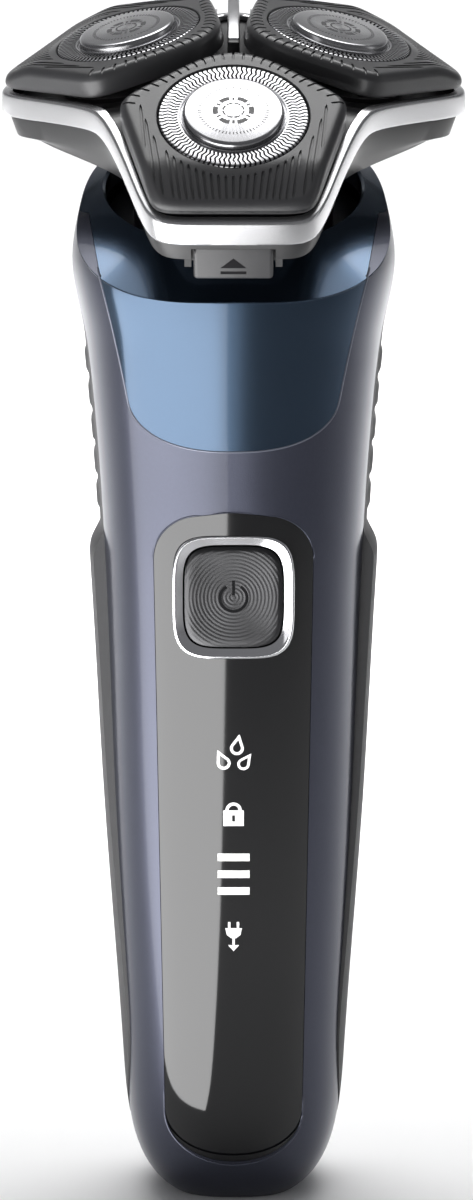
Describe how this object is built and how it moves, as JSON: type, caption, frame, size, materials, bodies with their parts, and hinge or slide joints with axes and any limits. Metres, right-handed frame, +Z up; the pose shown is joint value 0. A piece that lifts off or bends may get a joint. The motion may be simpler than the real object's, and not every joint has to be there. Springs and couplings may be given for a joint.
{
  "type": "rotary electric shaver",
  "caption": "Cordless rotary shaver: tapered handle with button and display panel, blue collar, and a tilted head of tilting cutting units that pulls off and flips open.",
  "frame": {"origin": "middle of the flat base of the handle", "axes": "+Z up the handle; the front, with button and display, faces -Y; +X to the right seen from the front"},
  "size_m": [0.063, 0.056, 0.1681],
  "materials": {
    "shell_lavender": "satin metallic lavender grey plastic",
    "grip_rubber": "matt dark grey soft-touch rubber",
    "collar_blue": "glossy metallic deep blue lacquer",
    "panel_black": "high-gloss black",
    "icon_white": "white translucent window",
    "chrome_ring": "polished metal",
    "dark_plastic": "fine satin dark grey plastic",
    "black_plastic": "fine satin black plastic",
    "brushed_dark": "dark metal turned in fine rings",
    "silver_frame": "satin silver lacquer",
    "guard_steel": "bright brushed steel",
    "steel": "satin steel",
    "brass": "bright",
    "cell_wrap": "green shrink wrap",
    "board_green": "solder mask",
    "white_acetal": "natural acetal",
    "magnet": "dark ferrite",
    "copper": "lacquered copper windings",
    "seal_rubber": "matt black"
  },
  "bodies": {
    "handle": {"front_shell": "shell_lavender", "rear_grip": "grip_rubber", "collar": "collar_blue", "display_panel": "panel_black", "status_icons": "icon_white", "button_ring": "chrome_ring", "chassis": "dark_plastic", "battery": "cell_wrap", "battery_contacts": "steel", "circuit_board": "board_green", "board_parts": "black_plastic", "tact_switch": "black_plastic", "status_leds": "icon_white", "light_guide": "white_acetal", "charging_socket": "black_plastic", "charging_pins": "brass", "chassis_screws": "steel", "top_plate": "dark_plastic", "shaft_seal": "seal_rubber", "motor_screws": "steel", "motor_can": "steel", "motor_end_cap": "black_plastic", "motor_magnets": "magnet", "motor_bearings": "brass"},
    "rotor": {"armature": "copper", "motor_shaft": "steel", "drive_coupling": "white_acetal"},
    "power_key": {"power_button": "brushed_dark"},
    "head_base": {"hair_chamber": "black_plastic", "gear_cover": "dark_plastic", "gear_base": "dark_plastic", "neck_seal": "seal_rubber", "hinge_pin": "steel", "release_spring": "steel"},
    "central_drive": {"central_gear": "white_acetal"},
    "release_key": {"release_button": "dark_plastic"},
    "frame": {"frame_band": "silver_frame", "frame_plate": "dark_plastic", "frame_spine": "silver_frame", "retaining_ring_front": "dark_plastic", "retaining_ring_left": "dark_plastic", "retaining_ring_right": "dark_plastic"},
    "drive_front": {"driven_gear_front": "white_acetal", "spindle_front": "dark_plastic"},
    "drive_left": {"driven_gear_left": "white_acetal", "spindle_left": "dark_plastic"},
    "drive_right": {"driven_gear_right": "white_acetal", "spindle_right": "dark_plastic"},
    "unit_front": {"cap_front": "dark_plastic", "guard_front": "guard_steel"},
    "unit_left": {"cap_left": "dark_plastic", "guard_left": "guard_steel"},
    "unit_right": {"cap_right": "dark_plastic", "guard_right": "guard_steel"},
    "blades_front": {"cutter_front": "guard_steel"},
    "blades_left": {"cutter_left": "guard_steel"},
    "blades_right": {"cutter_right": "guard_steel"}
  },
  "joints": [
    {"name": "motor_spin", "type": "hinge", "parent": "handle", "child": "rotor", "pos_m": [0, 0.00526, 0.13266], "axis": [0, -0.342, 0.9397], "continuous": true},
    {"name": "power_press", "type": "slide", "parent": "handle", "child": "power_key", "axis": [0, 1, 0], "range_m": [0, 0.0006], "stiffness_N_per_m": 2500, "springref_m": -0.0003},
    {"name": "head_pull", "type": "slide", "parent": "handle", "child": "head_base", "axis": [0, -0.342, 0.9397], "range_m": [0, 0.018]},
    {"name": "central_spin", "type": "hinge", "parent": "head_base", "child": "central_drive", "pos_m": [0, -0.00089, 0.14958], "axis": [0, -0.342, 0.9397], "continuous": true},
    {"name": "release_press", "type": "slide", "parent": "head_base", "child": "release_key", "axis": [0, 0.9397, 0.342], "range_m": [0, 0.0009], "stiffness_N_per_m": 2500, "springref_m": -0.0003, "deforming": ["release_spring"]},
    {"name": "frame_open", "type": "hinge", "parent": "head_base", "child": "frame", "pos_m": [0, 0.02196, 0.16162], "axis": [-1, 0, 0], "range_deg": [0, 95]},
    {"name": "drive_front_spin", "type": "hinge", "parent": "head_base", "child": "drive_front", "pos_m": [0, -0.01261, 0.14369], "axis": [0, -0.5736, 0.8192], "continuous": true},
    {"name": "drive_left_spin", "type": "hinge", "parent": "head_base", "child": "drive_left", "pos_m": [-0.01128, 0.00575, 0.15037], "axis": [-0.2241, -0.2088, 0.9519], "continuous": true},
    {"name": "drive_right_spin", "type": "hinge", "parent": "head_base", "child": "drive_right", "pos_m": [0.01128, 0.00575, 0.15037], "axis": [0.2241, -0.2088, 0.9519], "continuous": true},
    {"name": "unit_front_tilt", "type": "hinge", "parent": "frame", "child": "unit_front", "pos_m": [0, -0.0195, 0.15352], "axis": [-1, 0, 0], "range_deg": [-1.5, 3], "stiffness_Nm_per_rad": 0.3},
    {"name": "unit_left_tilt", "type": "hinge", "parent": "frame", "child": "unit_left", "pos_m": [-0.01397, 0.00324, 0.1618], "axis": [0.5, 0.8138, 0.2962], "range_deg": [-1.5, 3], "stiffness_Nm_per_rad": 0.3},
    {"name": "unit_right_tilt", "type": "hinge", "parent": "frame", "child": "unit_right", "pos_m": [0.01397, 0.00324, 0.1618], "axis": [0.5, -0.8138, -0.2962], "range_deg": [-1.5, 3], "stiffness_Nm_per_rad": 0.3},
    {"name": "blades_front_spin", "type": "hinge", "parent": "unit_front", "child": "blades_front", "pos_m": [0, -0.01892, 0.1527], "axis": [0, -0.5736, 0.8192], "continuous": true},
    {"name": "blades_left_spin", "type": "hinge", "parent": "unit_left", "child": "blades_left", "pos_m": [-0.01375, 0.00345, 0.16085], "axis": [-0.2241, -0.2088, 0.9519], "continuous": true},
    {"name": "blades_right_spin", "type": "hinge", "parent": "unit_right", "child": "blades_right", "pos_m": [0.01375, 0.00345, 0.16085], "axis": [0.2241, -0.2088, 0.9519], "continuous": true}
  ],
  "couplings": [
    {"joint": "central_spin", "follows": "motor_spin", "ratio": 1},
    {"joint": "drive_front_spin", "follows": "motor_spin", "ratio": -1.2},
    {"joint": "blades_front_spin", "follows": "motor_spin", "ratio": -1.2},
    {"joint": "drive_left_spin", "follows": "motor_spin", "ratio": -1.2},
    {"joint": "blades_left_spin", "follows": "motor_spin", "ratio": -1.2},
    {"joint": "drive_right_spin", "follows": "motor_spin", "ratio": -1.2},
    {"joint": "blades_right_spin", "follows": "motor_spin", "ratio": -1.2}
  ]
}
